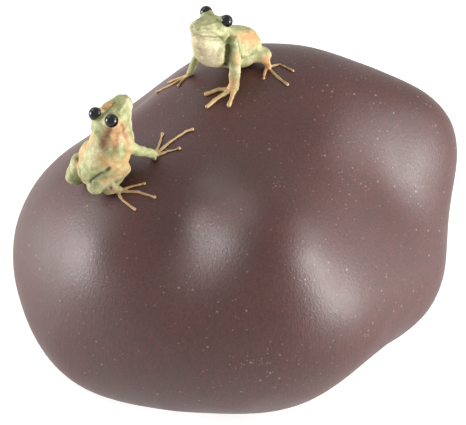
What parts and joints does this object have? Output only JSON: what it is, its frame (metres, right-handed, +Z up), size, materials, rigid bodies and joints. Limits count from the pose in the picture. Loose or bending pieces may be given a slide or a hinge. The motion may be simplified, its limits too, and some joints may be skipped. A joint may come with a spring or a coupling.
{
  "type": "tea pet",
  "caption": "Hollow fired-clay boulder with a flat foot and a vent hole, and green frogs sitting on its shoulder and summit.",
  "frame": {"origin": "middle of the boulder's flat foot, on the plane it stands on", "axes": "+Z up, -Y towards the front that the picture shows, +X to that picture's right"},
  "size_m": [0.113, 0.104, 0.0974],
  "materials": {
    "purple_clay": "satin fired purple clay with fine light and dark grain, tea-polished",
    "green_clay": "matt fired green clay with orange and brown clay washes and a cream throat",
    "black_glaze": "glossy black glazed beads"
  },
  "bodies": {
    "root": {"stone": "purple_clay", "shoulder_frog": "green_clay", "shoulder_frog_left_eye": "black_glaze", "shoulder_frog_right_eye": "black_glaze", "summit_frog": "green_clay", "summit_frog_left_eye": "black_glaze", "summit_frog_right_eye": "black_glaze"}
  },
  "joints": []
}
